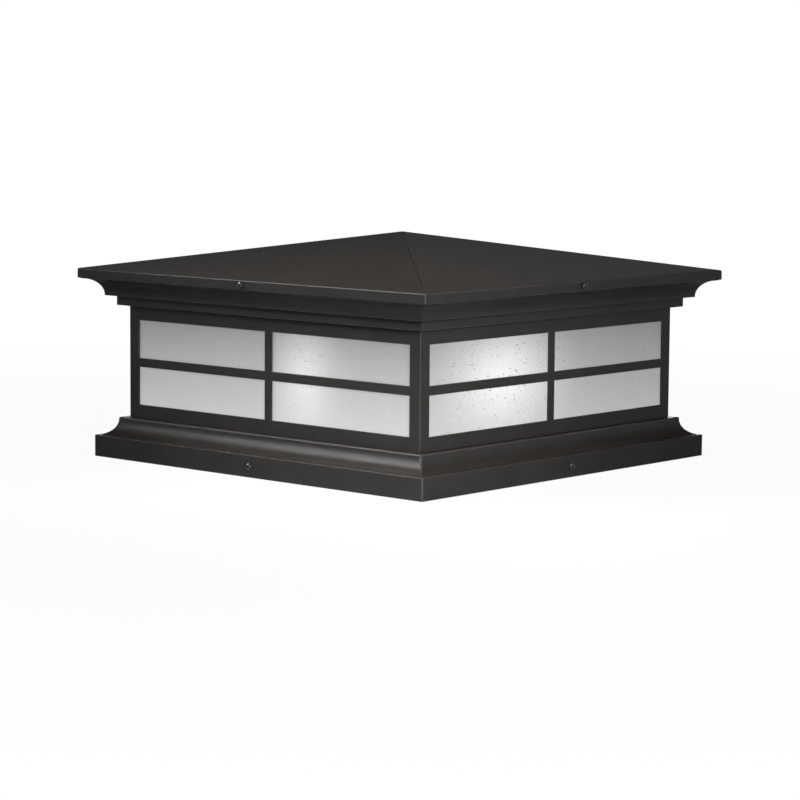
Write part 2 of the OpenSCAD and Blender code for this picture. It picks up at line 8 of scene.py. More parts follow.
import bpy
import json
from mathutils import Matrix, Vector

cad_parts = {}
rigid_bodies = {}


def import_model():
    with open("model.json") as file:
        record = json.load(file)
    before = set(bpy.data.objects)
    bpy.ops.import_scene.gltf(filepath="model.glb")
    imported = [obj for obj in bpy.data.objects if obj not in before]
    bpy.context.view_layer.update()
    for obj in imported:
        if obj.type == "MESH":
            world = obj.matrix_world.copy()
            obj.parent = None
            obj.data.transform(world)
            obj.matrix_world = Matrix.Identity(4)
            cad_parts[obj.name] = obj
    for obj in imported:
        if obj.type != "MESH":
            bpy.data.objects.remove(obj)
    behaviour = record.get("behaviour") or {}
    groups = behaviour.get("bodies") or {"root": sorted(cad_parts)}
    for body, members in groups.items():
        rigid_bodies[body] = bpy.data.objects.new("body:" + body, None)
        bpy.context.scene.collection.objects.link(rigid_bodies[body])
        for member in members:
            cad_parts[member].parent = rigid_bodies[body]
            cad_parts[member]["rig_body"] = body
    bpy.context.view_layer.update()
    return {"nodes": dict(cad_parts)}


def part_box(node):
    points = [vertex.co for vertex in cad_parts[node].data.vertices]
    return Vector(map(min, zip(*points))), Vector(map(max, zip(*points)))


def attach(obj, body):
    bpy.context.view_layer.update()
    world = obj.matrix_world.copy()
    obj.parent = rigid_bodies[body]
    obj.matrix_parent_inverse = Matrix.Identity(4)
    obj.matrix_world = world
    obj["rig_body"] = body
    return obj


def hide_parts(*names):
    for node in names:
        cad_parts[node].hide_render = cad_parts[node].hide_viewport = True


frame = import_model()
print("nodes in the frame:", len(frame["nodes"]))

# %% Tools of the trade
import json
from functools import partial
from math import asin, atan2, cos, degrees, e, floor, hypot, pi, radians, sin, tan

import bmesh
import bpy
from mathutils import Matrix, Vector

MM = 0.001

# %% [markdown]
# ## Writing node trees
# Shaders and Geometry Nodes are both trees of nodes. They can be drawn by hand in the editor,
# but a tree that is written in a script can be read, repeated and changed. Four small helpers
# are enough: one fills a node's inputs, one adds a node, one does arithmetic, and one starts a
# group with named inputs and outputs.

# %% Helpers for node trees
def fill(tree, node, inputs):
    """Give each input of a node a value or a link. A node stands for its first output."""
    for name, value in inputs.items():
        if isinstance(value, bpy.types.Node):
            value = value.outputs[0]
        if isinstance(value, bpy.types.NodeSocket):
            tree.links.new(value, node.inputs[name])
        else:
            node.inputs[name].default_value = value
    return node


def put(tree, kind, inputs=None, **settings):
    """Add a node, change its settings and fill its inputs."""
    node = tree.nodes.new(kind)
    for name, value in settings.items():
        setattr(node, name, value)
    return fill(tree, node, inputs or {})


def calc(tree, operation, *values):
    """One step of arithmetic on numbers or sockets."""
    return put(tree, "ShaderNodeMath", dict(enumerate(values)), operation=operation).outputs[0]


def start_group(name, kind, inputs, outputs):
    """A node group with named sockets, and the two nodes that bring them in and out."""
    tree = bpy.data.node_groups.new(name, kind)
    for way, sockets in (("INPUT", inputs), ("OUTPUT", outputs)):
        for title, (sort, value) in sockets.items():
            socket = tree.interface.new_socket(
                name=title, in_out=way, socket_type="NodeSocket" + sort)
            if value is not None:
                socket.default_value = value
    given = tree.nodes.new("NodeGroupInput").outputs
    result = tree.nodes.new("NodeGroupOutput")
    return tree, given, result


# %% [markdown]
# ## Effects that several finishes share
# A powder coat, an enamel and a moulded plastic all have a fine grain, a slow drift in shade,
# edges where the coat is thinner, and a little dust on whatever faces up. On the black paint
# the lighter edges are also a painted highlight, and the dust also paints light from above onto
# the faces that look up. Each effect is a shader node group that puts out masks and values.
# The groups read Object coordinates, which are metres here, so a scale of 1000 gives a grain of
# about a millimetre.

# %% Grain
grain, given, result = start_group(
    "Grain", "ShaderNodeTree",
    {"Fine scale": ("Float", 1500.0), "Drift scale": ("Float", 14.0)},
    {"Fine": ("Float", None), "Drift": ("Float", None)})
place = put(grain, "ShaderNodeTexCoord").outputs["Object"]
for title, source, detail in (("Fine", "Fine scale", 2.0), ("Drift", "Drift scale", 4.0)):
    noise = put(grain, "ShaderNodeTexNoise",
                {"Vector": place, "Scale": given[source], "Detail": detail})
    spread_out = put(grain, "ShaderNodeMapRange", {"Value": noise.outputs["Fac"],
                                                   "From Min": 0.3, "From Max": 0.7})
    fill(grain, result, {title: spread_out})
print("shader group:", grain.name)

# %% [markdown]
# Paint is thin on sharp edges, and handling polishes it there. On the black paint the much
# lighter edge colour is mostly a painted highlight, a thin light line along the rounded edges and
# down the corners of the mouldings. Pieces with rounded edges carry a face attribute called
# edge. The group reads it and breaks it up into patches.

# %% Thin coat and painted highlight on the edges
edge_wear_and_highlight, given, result = start_group(
    "Edge wear and highlight", "ShaderNodeTree",
    {"Amount": ("Float", 0.5), "Patch scale": ("Float", 60.0)}, {"Mask": ("Float", None)})
edge = put(edge_wear_and_highlight, "ShaderNodeAttribute", attribute_name="edge").outputs["Fac"]
place = put(edge_wear_and_highlight, "ShaderNodeTexCoord").outputs["Object"]
patches = put(edge_wear_and_highlight, "ShaderNodeTexNoise",
              {"Vector": place, "Scale": given["Patch scale"], "Detail": 3.0}).outputs["Fac"]
mask = calc(edge_wear_and_highlight, "MULTIPLY", edge, patches)
mask = calc(edge_wear_and_highlight, "MULTIPLY", mask, given["Amount"])
fill(edge_wear_and_highlight, result, {"Mask": mask})
print("shader group:", edge_wear_and_highlight.name)

# %% [markdown]
# Dust and rain stains lie on faces that look up. The third power of the normal's Z keeps them
# off faces that are nearly upright. On the black paint the same mask, with a colour lighter than
# the paint, also paints light from above onto the faces that look up.

# %% Dust, and painted top light, on surfaces that face up
dust_and_top_light, given, result = start_group(
    "Dust", "ShaderNodeTree",
    {"Amount": ("Float", 0.1), "Speck scale": ("Float", 700.0)}, {"Mask": ("Float", None)})
up = put(dust_and_top_light, "ShaderNodeSeparateXYZ",
         {0: put(dust_and_top_light, "ShaderNodeNewGeometry").outputs["Normal"]}).outputs["Z"]
place = put(dust_and_top_light, "ShaderNodeTexCoord").outputs["Object"]
specks = put(dust_and_top_light, "ShaderNodeTexNoise",
             {"Vector": place, "Scale": given["Speck scale"], "Detail": 2.0}).outputs["Fac"]
level = calc(dust_and_top_light, "POWER", calc(dust_and_top_light, "MAXIMUM", up, 0.0), 3.0)
mask = calc(dust_and_top_light, "MULTIPLY", level, specks)
mask = calc(dust_and_top_light, "MULTIPLY", mask, given["Amount"])
fill(dust_and_top_light, result, {"Mask": mask})
print("shader group:", dust_and_top_light.name)

# %% [markdown]
# ## One recipe for the opaque finishes
# The opaque finishes differ in colour, gloss and grain, but are built alike. The base colour
# drifts a little, goes lighter on edges where the coat wears thin and under dust, and the grain
# drives both the roughness and a very low bump. On the black paint the lighter edges are also a
# painted highlight, and the lighter faces that look up are also painted light from above. So one
# function makes them all, and each finish is one call.

# %% Recipe for an opaque finish
def new_material(name):
    """A material, its node tree and its shader."""
    material = bpy.data.materials.new(name)
    material.use_nodes = True
    return material, material.node_tree, material.node_tree.nodes["Principled BSDF"]


def blend_colour(tree, share, first, second):
    """Mix two colours, each a socket or a value with four numbers."""
    mix = put(tree, "ShaderNodeMix", {0: share, 6: first, 7: second}, data_type="RGBA")
    return mix.outputs[2]


def opaque_finish(name, colour, roughness, worn_and_highlit, metallic=0.0, specular=0.5, fine=1500.0,
                  drift=14.0, vary=0.1, speckle=0.05, rough_vary=0.06, bump=0.01, wear=0.5,
                  dust_and_top_light_amount=0.1, dust_and_top_light_colour=(0.36, 0.33, 0.3), dust_scale=700.0):
    """A material for paint, plated metal, rubber, ceramic or plastic."""
    material, tree, shader = new_material(name)
    grains = put(tree, "ShaderNodeGroup", {"Fine scale": fine, "Drift scale": drift},
                 node_tree=grain).outputs
    wear_and_highlight_mask = put(tree, "ShaderNodeGroup", {"Amount": wear}, node_tree=edge_wear_and_highlight)
    dust_and_top_light_mask = put(tree, "ShaderNodeGroup", {"Amount": dust_and_top_light_amount, "Speck scale": dust_scale},
                    node_tree=dust_and_top_light)
    dark = (*[c * (1 - vary) for c in colour], 1)
    light = (*[min(1, c * (1 + vary)) for c in colour], 1)
    base = blend_colour(tree, grains["Drift"], dark, light)
    value = calc(tree, "MULTIPLY_ADD", grains["Fine"], 2 * speckle, 1 - speckle)
    base = put(tree, "ShaderNodeHueSaturation", {"Color": base, "Value": value})
    # Lighter edges: a thin coat, and on the black paint mostly a painted highlight.
    base = blend_colour(tree, wear_and_highlight_mask, base, (*worn_and_highlit, 1))
    # Faces that look up: dust, and on the black paint also painted light from above.
    base = blend_colour(tree, dust_and_top_light_mask, base, (*dust_and_top_light_colour, 1))
    gloss = calc(tree, "MULTIPLY_ADD", grains["Fine"], 2 * rough_vary, roughness - rough_vary)
    relief = put(tree, "ShaderNodeBump", {"Height": grains["Fine"], "Strength": 1.0,
                                          "Distance": bump * MM})
    fill(tree, shader, {"Base Color": base, "Roughness": gloss, "Normal": relief,
                        "Metallic": metallic, "Specular IOR Level": specular})
    return material


# %% [markdown]
# The outside is powder coated in a soft black. Its roof has a faint brown bloom, made by the
# dust effect with a brown colour and large soft specks. The bloom is partly weathering and partly
# painted light: it makes the faces that look up lighter and warmer. The black's edges take a much
# lighter colour, which is a painted highlight as well as wear. The hidden fasteners are zinc
# plated, and the fittings near the lamp are ceramic, brass, nylon and rubber.

# %% The finishes
black_paint = opaque_finish("black_paint", (0.0113, 0.0106, 0.0094), 0.42, (0.06, 0.057, 0.053),
                            specular=0.11, fine=1100.0, drift=24.0, vary=0.16, speckle=0.14,
                            bump=0.012, wear=0.6, dust_and_top_light_amount=1.0,
                            dust_and_top_light_colour=(0.0205, 0.0155, 0.0095), dust_scale=90.0)
black_screw = opaque_finish("black_screw", (0.01, 0.0095, 0.009), 0.28, (0.03, 0.028, 0.026),
                            specular=0.45, fine=2500.0, wear=0.6, dust_and_top_light_amount=0.02)
zinc = opaque_finish("zinc", (0.6, 0.61, 0.63), 0.34, (0.75, 0.75, 0.74), metallic=1.0,
                     fine=900.0, drift=160.0, rough_vary=0.14, bump=0.006, dust_and_top_light_amount=0.04)
white_paint = opaque_finish("white_paint", (0.82, 0.82, 0.8), 0.3, (0.7, 0.7, 0.69),
                            fine=1100.0, vary=0.03, bump=0.012, wear=0.3, dust_and_top_light_amount=0.12)
ceramic = opaque_finish("ceramic", (0.76, 0.72, 0.63), 0.22, (0.82, 0.79, 0.72),
                        fine=1800.0, vary=0.05, wear=0.3, dust_and_top_light_amount=0.05)
brass = opaque_finish("brass", (0.72, 0.54, 0.25), 0.34, (0.85, 0.68, 0.36), metallic=1.0,
                      fine=1600.0, drift=220.0, bump=0.004, dust_and_top_light_amount=0.03)
rubber = opaque_finish("rubber", (0.02, 0.02, 0.02), 0.72, (0.05, 0.05, 0.05),
                       fine=1300.0, bump=0.02, dust_and_top_light_amount=0.15)
nylon = opaque_finish("nylon", (0.78, 0.77, 0.72), 0.42, (0.84, 0.83, 0.8),
                      fine=1200.0, vary=0.04, wear=0.3)
lead_black = opaque_finish("lead_black", (0.025, 0.025, 0.026), 0.5, (0.06, 0.06, 0.06),
                           fine=2200.0, bump=0.008)
lead_white = opaque_finish("lead_white", (0.76, 0.76, 0.73), 0.48, (0.8, 0.8, 0.78),
                           fine=2200.0, vary=0.05, bump=0.008)
print("opaque finishes:", len(bpy.data.materials))

# %% [markdown]
# ## Glass that is lit from behind
# The panes are frosted seeded glass, and one lamp burns in the middle of the lantern. Tracing
# its light through frosted glass takes very long to render clean, so the glow is painted into
# the material, which also survives an export. It is a soft bright spot that falls off like a
# bell curve, and the white plate under the lamp throws more light on the lower part of the
# glass. Both read Object coordinates, so they stay on the glass wherever the camera stands.

# %% Glow of the lamp on a pane
glow, given, result = start_group(
    "Lamp glow", "ShaderNodeTree",
    {"Centre": ("Vector", (0, 0, 0)), "Spread": ("Vector", (1, 1, 1)),
     "Bottom": ("Float", 0.0), "Height": ("Float", 0.1)},
    {"Glow": ("Float", None), "Bounce": ("Float", None)})
place = put(glow, "ShaderNodeTexCoord").outputs["Object"]
offset = put(glow, "ShaderNodeVectorMath", {0: place, 1: given["Centre"]},
             operation="SUBTRACT")
share = put(glow, "ShaderNodeVectorMath", {0: offset, 1: given["Spread"]}, operation="DIVIDE")
square = put(glow, "ShaderNodeVectorMath", {0: share, 1: share},
             operation="DOT_PRODUCT").outputs["Value"]
bell = calc(glow, "POWER", e, calc(glow, "MULTIPLY", square, -0.5))
height = put(glow, "ShaderNodeSeparateXYZ", {0: place}).outputs["Z"]
share = calc(glow, "DIVIDE", calc(glow, "SUBTRACT", height, given["Bottom"]), given["Height"])
bounce = put(glow, "ShaderNodeMapRange", {"Value": share, "To Min": 1.0, "To Max": 0.0})
fill(glow, result, {"Glow": bell, "Bounce": bounce})
print("shader group:", glow.name)

# %% Recipe for a lit glass
BOUNCE_FOOT = 40 * MM       # where the light from below is strongest
BOUNCE_RISE = 90 * MM       # how far up it fades out


def lit_glass(name, colour, centre, spread, peak, veil, bounce=0.0, roughness=0.3, bump=0.01):
    """Frosted glass that is lit: a peak at the centre and a bounce from below, over a veil."""
    material, tree, shader = new_material(name)
    grains = put(tree, "ShaderNodeGroup", {"Fine scale": 500.0, "Drift scale": 30.0},
                 node_tree=grain).outputs
    spot = put(tree, "ShaderNodeGroup", {
        "Centre": centre, "Spread": spread, "Bottom": BOUNCE_FOOT, "Height": BOUNCE_RISE},
        node_tree=glow).outputs
    light = calc(tree, "MULTIPLY_ADD", spot["Glow"], peak, veil)
    light = calc(tree, "MULTIPLY_ADD", spot["Bounce"], bounce, light)
    cloud = calc(tree, "MULTIPLY_ADD", grains["Drift"], 0.04, 0.98)
    light = calc(tree, "MULTIPLY", light, cloud)
    light = put(tree, "ShaderNodeCombineColor", {0: light, 1: light, 2: light})
    dark = (*[c * 0.96 for c in colour], 1)
    base = blend_colour(tree, grains["Fine"], dark, (*colour, 1))
    relief = put(tree, "ShaderNodeBump", {"Height": grains["Drift"], "Strength": 1.0,
                                          "Distance": bump * MM})
    fill(tree, shader, {"Base Color": base, "Roughness": roughness, "Normal": relief,
                        "Emission Color": light, "Emission Strength": 1.0})
    return material


# %% [markdown]
# ## Mouldings swept round a square
# The base, the crown and the roof share one rule: an outline goes round a square and is mitred
# at the four corners. The outline is a chain of points, with a half width and a height for
# each. Sharp corners of cast and folded metal always have a small radius, and that radius
# catches the light, so the outline's corners get short arcs first.

# %% Outlines with rounded corners
EDGE_LIMIT = 2                  # a corner with a smaller radius is an edge, in millimetres
EDGE_STEPS, CURVE_STEPS = 4, 20


def rounded(corners):
    """Points of an outline from corners of (half width, height, radius), in millimetres.
    Each point also says whether the stretch after it belongs to a rounded edge."""
    points = []
    for i, (h, z, radius) in enumerate(corners):
        here = Vector((h, z))
        if radius == 0:
            points.append((h, z, 0))
            continue
        before = (Vector(corners[i - 1][:2]) - here).normalized()
        after = (Vector(corners[(i + 1) % len(corners)][:2]) - here).normalized()
        half = before.angle(after) / 2
        centre = here + (before + after).normalized() * radius / sin(half)
        first = here + before * radius / tan(half) - centre
        last = here + after * radius / tan(half) - centre
        is_edge = radius < EDGE_LIMIT
        steps = EDGE_STEPS if is_edge else CURVE_STEPS
        sweep = atan2(first.x * last.y - first.y * last.x, first.dot(last))
        for k in range(steps + 1):
            a = sweep * k / steps
            spot = centre + Vector((first.x * cos(a) - first.y * sin(a),
                                    first.x * sin(a) + first.y * cos(a)))
            points.append((spot.x, spot.y, 1 if is_edge and k < steps else 0))
    return points


def arc(centre, radius, start, end, steps=16):
    """Points on part of a circle, as corners without a radius. Angles are in degrees."""
    turns = [radians(start + (end - start) * k / steps) for k in range(steps + 1)]
    return [(centre[0] + radius * cos(a), centre[1] + radius * sin(a), 0) for a in turns]


# %% [markdown]
# The outer sizes are read from the CAD solids, and the steps and walls are named here, in
# millimetres. The base is a skirt, a hollow curve and a ledge, with a seat ring inside that rests
# on the post. The crown is a band, a lip and a larger hollow curve. The roof slopes up from its
# upright edge, the fascia.

# %% The three outlines
def extent(node):
    """The half width, the foot and the top of a CAD solid, in millimetres."""
    low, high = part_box(node)
    return [round(size / MM, 2) for size in (high.x, low.z, high.z)]


skirt_half, skirt_foot, ledge_top = extent("base_moulding")
body_half = extent("window_cage")[0]
crown_half, crown_foot, crown_top = extent("crown_moulding")
roof_half, fascia_foot, apex = extent("roof_lid")

FLANGE = 20                             # from the cage's face in to the flanges' inner edges
SKIRT_HEIGHT, BASE_COVE, LEDGE_STEP = 19.2, 14.3, 7.3
BASE_WALL, SEAT = 2.5, 4                # the casting's wall and its seat ring
BAND_HEIGHT, BAND_STEP, LIP_STEP = 8.6, 8.3, 7.6
CROWN_WALL, ROOF_WALL, FASCIA = 2, 1.5, 8.4

flange_half = body_half - FLANGE
ledge_half = body_half + LEDGE_STEP
skirt_inside = skirt_half - BASE_WALL
seat_z = ledge_top - SEAT
cove_x, cove_z = ledge_half + BASE_COVE, SKIRT_HEIGHT + BASE_COVE
inner_cove = BASE_COVE + BASE_WALL
base_outline = rounded([
    (skirt_inside, skirt_foot, 0.4), (skirt_half, skirt_foot, 0.5),
    (skirt_half, SKIRT_HEIGHT, 0.7), (ledge_half, SKIRT_HEIGHT, BASE_COVE),
    (ledge_half, ledge_top, 1.3), (flange_half, ledge_top, 0.3), (flange_half, seat_z, 0.3),
    *arc((cove_x, cove_z), inner_cove, 180 + degrees(asin((cove_z - seat_z) / inner_cove)),
         270 - degrees(asin((cove_x - skirt_inside) / inner_cove)))])

band_half, band_top = body_half + BAND_STEP, crown_foot + BAND_HEIGHT
lip_half = band_half + LIP_STEP
crown_cove = crown_half - lip_half
cove_top = band_top + crown_cove
flange_top = crown_foot + CROWN_WALL
band_inside = band_half - CROWN_WALL
inner_cove = crown_cove + CROWN_WALL
margin = degrees(asin(CROWN_WALL / inner_cove))
crown_outline = rounded([
    (flange_half, crown_foot, 0.3), (band_half, crown_foot, 0.6), (band_half, band_top, 0),
    (lip_half, band_top, 0.4), (lip_half, cove_top, crown_cove - 0.8),
    (crown_half, cove_top, 0.4), (crown_half, crown_top, 0.3),
    (crown_half - CROWN_WALL, crown_top, 0.3),
    *arc((crown_half, band_top), inner_cove, 90 + margin, 180 - margin),
    (band_inside, band_top + CROWN_WALL, 0), (band_inside, flange_top, 0.4),
    (flange_half, flange_top, 0.3)])

roof_inside, eaves = roof_half - ROOF_WALL, fascia_foot + FASCIA
slope = (apex - eaves) / roof_half
under = apex - ROOF_WALL * hypot(1, slope)
HIP_SEAM = (196, 6)                     # the half widths between which the hips have a crease
roof_outline = rounded([
    (0, under, 0), (roof_inside, under - slope * roof_inside, 0.4),
    (roof_inside, fascia_foot, 0.3), (roof_half, fascia_foot, 0.4), (roof_half, eaves, 1.3),
    *[(h, apex - slope * h, 0) for h in (199, *HIP_SEAM, 4)], (0, apex, 0)])
print("outline points:", len(base_outline), len(crown_outline), len(roof_outline))

# %% [markdown]
# The sweep is a Geometry Nodes tree. It makes a grid with one row for each outline point and a
# few columns for each corner of the square. Then it moves every grid point to its place: the
# row gives the half width and the height, and the column gives the direction. Merging by
# distance joins the first and last rows and columns. Where the roof's four slopes meet, the
# corner columns sink by half a millimetre, which leaves the fine crease of a folded hip.

# %% The mitred sweep's grid
sweep, given, result = start_group(
    "Mitred sweep", "GeometryNodeTree",
    {"Outline": ("Geometry", None), "Closed": ("Bool", True),
     "Corner radius": ("Float", 0.6 * MM), "Corner points": ("Int", 5),
     "Seam depth": ("Float", 0.5 * MM), "Corner wear": ("Float", 1.0),
     "Material": ("Material", None)},
    {"Moulding": ("Geometry", None)})
do = partial(calc, sweep)
per_corner = given["Corner points"]
rows = put(sweep, "GeometryNodeAttributeDomainSize", {0: given["Outline"]},
           component="MESH").outputs["Point Count"]
around = do("MULTIPLY", per_corner, 4)
columns = do("ADD", around, 1)
grid = put(sweep, "GeometryNodeMeshGrid", {
    "Vertices X": do("ADD", rows, given["Closed"]), "Vertices Y": columns})
index = put(sweep, "GeometryNodeInputIndex")
print("sweep group:", sweep.name)

# %% Where each grid point goes
def read_outline(kind, value, spot):
    """A value of the outline at one of its points."""
    return put(sweep, "GeometryNodeSampleIndex",
               {"Geometry": given["Outline"], "Index": spot, "Value": value}, data_type=kind)


row = do("FLOOR", do("DIVIDE", index, columns))
column = do("MODULO", do("SUBTRACT", index, do("MULTIPLY", row, columns)), around)
point = do("MODULO", row, rows)
spot = read_outline("FLOAT_VECTOR", put(sweep, "GeometryNodeInputPosition"), point)
spot = put(sweep, "ShaderNodeSeparateXYZ", {0: spot}).outputs
corner = do("FLOOR", do("DIVIDE", column, per_corner))
step = do("SUBTRACT", column, do("MULTIPLY", corner, per_corner))
share = do("DIVIDE", step, do("SUBTRACT", per_corner, 1))
angle = do("MULTIPLY", do("ADD", corner, share), pi / 2)
diagonal = do("MULTIPLY", do("ADD", corner, 0.5), pi / 2)
radius = do("MINIMUM", spot["X"], given["Corner radius"])
reach = do("MULTIPLY", do("SUBTRACT", spot["X"], radius), 2 ** 0.5)
seam_mark = put(sweep, "GeometryNodeInputNamedAttribute", {"Name": "seam"})
last_inner = do("SUBTRACT", per_corner, 1.5)    # a half keeps whole numbers off the limit
inside = do("MULTIPLY", do("GREATER_THAN", step, 0.5), do("LESS_THAN", step, last_inner))
sunk = do("MULTIPLY", read_outline("FLOAT", seam_mark, point), inside)
height = do("SUBTRACT", spot["Z"], do("MULTIPLY", sunk, given["Seam depth"]))
place = put(sweep, "ShaderNodeCombineXYZ", {"Z": height})
for axis, turn in (("X", "COSINE"), ("Y", "SINE")):
    centre = do("MULTIPLY", reach, do(turn, diagonal))
    fill(sweep, place, {axis: do("MULTIPLY_ADD", radius, do(turn, angle), centre)})
print("nodes so far:", len(sweep.nodes))

# %% Which faces are edges or carry the painted corner highlight, and the finished sweep
face_row = do("FLOOR", do("DIVIDE", index, around))
face_column = do("SUBTRACT", index, do("MULTIPLY", face_row, around))
# The faces round each vertical corner are marked as edge too, which paints a highlight line down
# the corner. The rows of the hip crease are left out.
at_corner = do("LESS_THAN", do("MODULO", face_column, per_corner), last_inner)
plain = do("SUBTRACT", 1.0, read_outline("FLOAT", seam_mark, face_row))
corner_highlight_mark = do("MULTIPLY", do("MULTIPLY", at_corner, plain), given["Corner wear"])
edge = put(sweep, "GeometryNodeInputNamedAttribute", {"Name": "edge"})
edge = do("MAXIMUM", read_outline("FLOAT", edge, face_row), corner_highlight_mark)
shape = put(sweep, "GeometryNodeStoreNamedAttribute",
            {"Geometry": grid.outputs["Mesh"], "Name": "edge", "Value": edge}, domain="FACE")
shape = put(sweep, "GeometryNodeSetPosition", {"Geometry": shape, "Position": place})
shape = put(sweep, "GeometryNodeMergeByDistance", {"Geometry": shape, "Distance": 0.001 * MM})
shape = put(sweep, "GeometryNodeRealizeInstances", {"Geometry": shape})
shape = put(sweep, "GeometryNodeSetMaterial", {"Geometry": shape, "Material": given["Material"]})
fill(sweep, result, {"Moulding": shape})
print("sweep tree:", len(sweep.nodes), "nodes")

# %% Helpers for objects and meshes
def new_object(name, data):
    """An object in the scene, from its mesh, lamp or camera."""
    thing = bpy.data.objects.new(name, data)
    bpy.context.scene.collection.objects.link(thing)
    return thing


def new_mesh(name, shape):
    """A mesh from a bmesh, which is freed."""
    mesh = bpy.data.meshes.new(name)
    shape.to_mesh(mesh)
    shape.free()
    return mesh


def store(mesh, name, values, domain="POINT"):
    """Keep a number for each point or face of a mesh, as a named attribute."""
    numbers = mesh.attributes.new(name, "FLOAT", domain)
    numbers.data.foreach_set("value", [float(value) for value in values])


def run_tree(piece, tree, **inputs):
    """Run a Geometry Nodes tree on an object and keep the result as its plain mesh. The
    modifier knows its inputs by their sockets' identifiers."""
    modifier = piece.modifiers.new("tree", "NODES")
    modifier.node_group = tree
    sockets = {item.name.replace(" ", "_"): item.identifier
               for item in tree.interface.items_tree if item.in_out == "INPUT"}
    for title, value in inputs.items():
        modifier[sockets[title]] = value
    return bake(piece)


def bake(piece):
    """Replace an object's mesh by the result of its modifiers, and take them off."""
    bpy.context.view_layer.update()
    ready = piece.evaluated_get(bpy.context.evaluated_depsgraph_get())
    mesh = bpy.data.meshes.new_from_object(ready)
    piece.modifiers.clear()
    piece.data = mesh
    return piece


def volume(mesh):
    """The volume that a closed mesh encloses, negative when it is inside out."""
    shape = bmesh.new()
    shape.from_mesh(mesh)
    total = shape.calc_volume(signed=True)
    shape.free()
    return total


# %% [markdown]
# Shading decides whether an edge looks sharp or round. Flat faces keep an even tone when the
# normals lean towards the large faces, which the Weighted Normal modifier does. Edges that
# stay sharper than 35 degrees are marked sharp before it runs.

# %% Shading and hand-over
def shade(piece, angle=35):
    """Smooth shading that keeps flat faces flat and sharp edges sharp."""
    piece.data.shade_smooth()
    piece.data.set_sharp_from_angle(angle=radians(angle))
    weighted = piece.modifiers.new("flat faces", "WEIGHTED_NORMAL")
    weighted.keep_sharp = True
    weighted.weight = 90
    return bake(piece)


def stand_for(piece, node):
    """The piece takes the place of a CAD node and rides on its body."""
    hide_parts(node)
    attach(piece, frame["nodes"][node]["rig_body"])
    return piece


def carve(piece, cutters, crossing=False):
    """Cut the shapes in a bmesh out of a piece. Crossing shapes need the slower way."""
    tool = new_object("cutters", new_mesh("cutters", cutters))
    cut = piece.modifiers.new("holes", "BOOLEAN")
    cut.object = tool
    cut.solver = "EXACT"
    cut.use_self = crossing
    bake(piece)
    bpy.data.objects.remove(tool)


def bore(piece, places):
    """Cut round holes, each given by its centre, direction, radius and length."""
    cutters = bmesh.new()
    for centre, direction, radius, length in places:
        made = bmesh.ops.create_cone(cutters, cap_ends=True, segments=32, radius1=radius,
                                     radius2=radius, depth=length)
        turn = Vector((0, 0, 1)).rotation_difference(Vector(direction)).to_matrix()
        bmesh.ops.rotate(cutters, matrix=turn, verts=made["verts"])
        bmesh.ops.translate(cutters, vec=centre, verts=made["verts"])
    carve(piece, cutters)


# %% Sweep the base, the crown and the roof
def moulding(name, outline, closed, corner_radius, holes, seams=(), corner_highlight=1.0):
    """Sweep an outline round the square, face it outwards and drill it."""
    mesh = bpy.data.meshes.new(name)
    mesh.from_pydata([(h * MM, 0, z * MM) for h, z, mark in outline], [], [])
    store(mesh, "edge", [mark for h, z, mark in outline])
    store(mesh, "seam", [h in seams for h, z, mark in outline])
    piece = run_tree(new_object(name, mesh), sweep, Closed=closed,
                     Corner_radius=corner_radius * MM, Corner_wear=corner_highlight,
                     Material=black_paint)
    if volume(piece.data) < 0:
        piece.data.flip_normals()
    bore(piece, holes)
    print(name, len(piece.data.polygons), "faces,", round(volume(piece.data) * 1e6, 1), "cm3")
    return shade(piece)


SIDES = [(0, -1), (1, 0), (0, 1), (-1, 0)]
CORNERS = [(1, -1), (1, 1), (-1, 1), (-1, -1)]
MIDDLE_HOLE, CORNER_HOLE = 156, 155.2   # from the centre to a flange's holes, along X or Y
POST_HOLE_X, POST_HOLE_Y = 110, 156
TAPPED, CLEAR, POST_CLEAR = 1.55, 1.7, 2.75     # the radii of the holes


def upright_hole(x, y, z, radius, length):
    """A hole along Z, from sizes in millimetres."""
    return Vector((x, y, z)) * MM, (0, 0, 1), radius * MM, length * MM


def flange_holes(z, radius, length):
    """Holes in the middle of each side of a flange and in each corner."""
    return [upright_hole(x * reach, y * reach, z, radius, length)
            for ways, reach in ((SIDES, MIDDLE_HOLE), (CORNERS, CORNER_HOLE)) for x, y in ways]


seat_middle = (ledge_top + seat_z) / 2
post_holes = [upright_hole(x * POST_HOLE_X, y * POST_HOLE_Y, seat_middle, POST_CLEAR, 12)
              for x, y in CORNERS]
base = moulding("base_casting", base_outline, True, 1.2,
                flange_holes(seat_middle, TAPPED, 10) + post_holes)
stand_for(base, "base_moulding")
crown = moulding("crown_sheet", crown_outline, True, 1.0,
                 flange_holes((crown_foot + flange_top) / 2, CLEAR, 6), corner_highlight=0.0)
stand_for(crown, "crown_moulding")
wall_middle, fascia_middle = (roof_half + roof_inside) / 2, (fascia_foot + eaves) / 2
roof_holes = [(Vector((x * wall_middle, y * wall_middle, fascia_middle)) * MM, (x, y, 0),
               CLEAR * MM, 6 * MM) for x, y in SIDES]
roof = moulding("roof_sheet", roof_outline, False, 1.0, roof_holes, seams=HIP_SEAM)
stand_for(roof, "roof_lid")

# %% [markdown]
# ## Sheet metal and moulded pieces
# The other pieces have the right shape in CAD, but their edges are perfectly sharp. Real sheet
# is sheared and painted, and plastic is moulded, so each edge has a small radius. A copy of
# each solid has its loose triangles merged, its flat faces joined and its edges bevelled.

